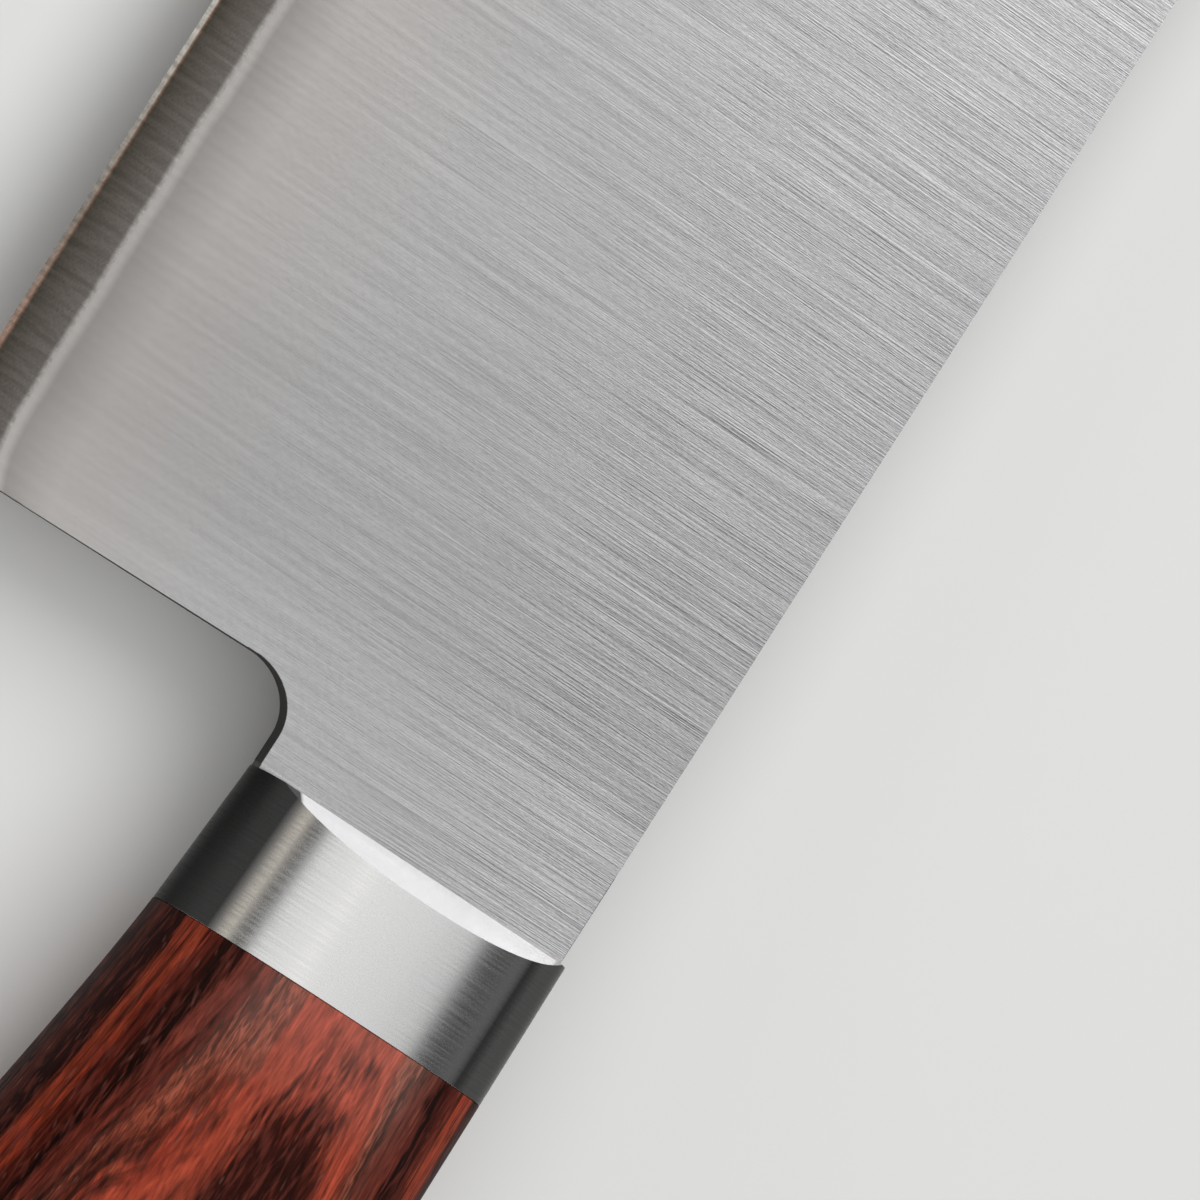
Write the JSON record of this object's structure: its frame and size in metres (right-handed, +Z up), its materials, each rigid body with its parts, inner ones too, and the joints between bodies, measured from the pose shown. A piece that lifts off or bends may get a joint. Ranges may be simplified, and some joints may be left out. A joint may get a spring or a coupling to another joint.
{
  "type": "nakiri knife",
  "caption": "Nakiri vegetable knife with a tall straight laminated steel blade, an oval steel ferrule and a swelling red laminated wood handle.",
  "frame": {"origin": "on the surface that the knife lies on, under the middle of its box", "axes": "+X from the handle to the tip, +Y from the spine to the edge, +Z up out of the left face. The knife lies on its right side, so its blade slopes down to the tip by about two and a half degrees"},
  "size_m": [0.2882, 0.0512, 0.0234],
  "materials": {
    "core_steel": "fine ground bevel, darker than the faces",
    "cladding_steel": "satin with fine hairlines from spine to edge",
    "weld_steel": "ground flush",
    "ferrule_steel": "polished, with fine brushing round the oval",
    "red_wood": "dyed laminated wood, red with near-black streaks, satin lacquer",
    "resin": "hidden adhesive"
  },
  "bodies": {
    "root": {"blade_core": "core_steel", "cladding_left": "cladding_steel", "cladding_right": "cladding_steel", "weld_spine": "weld_steel", "weld_belly": "weld_steel", "ferrule": "ferrule_steel", "handle_body": "red_wood", "tang_adhesive": "resin"}
  },
  "joints": []
}
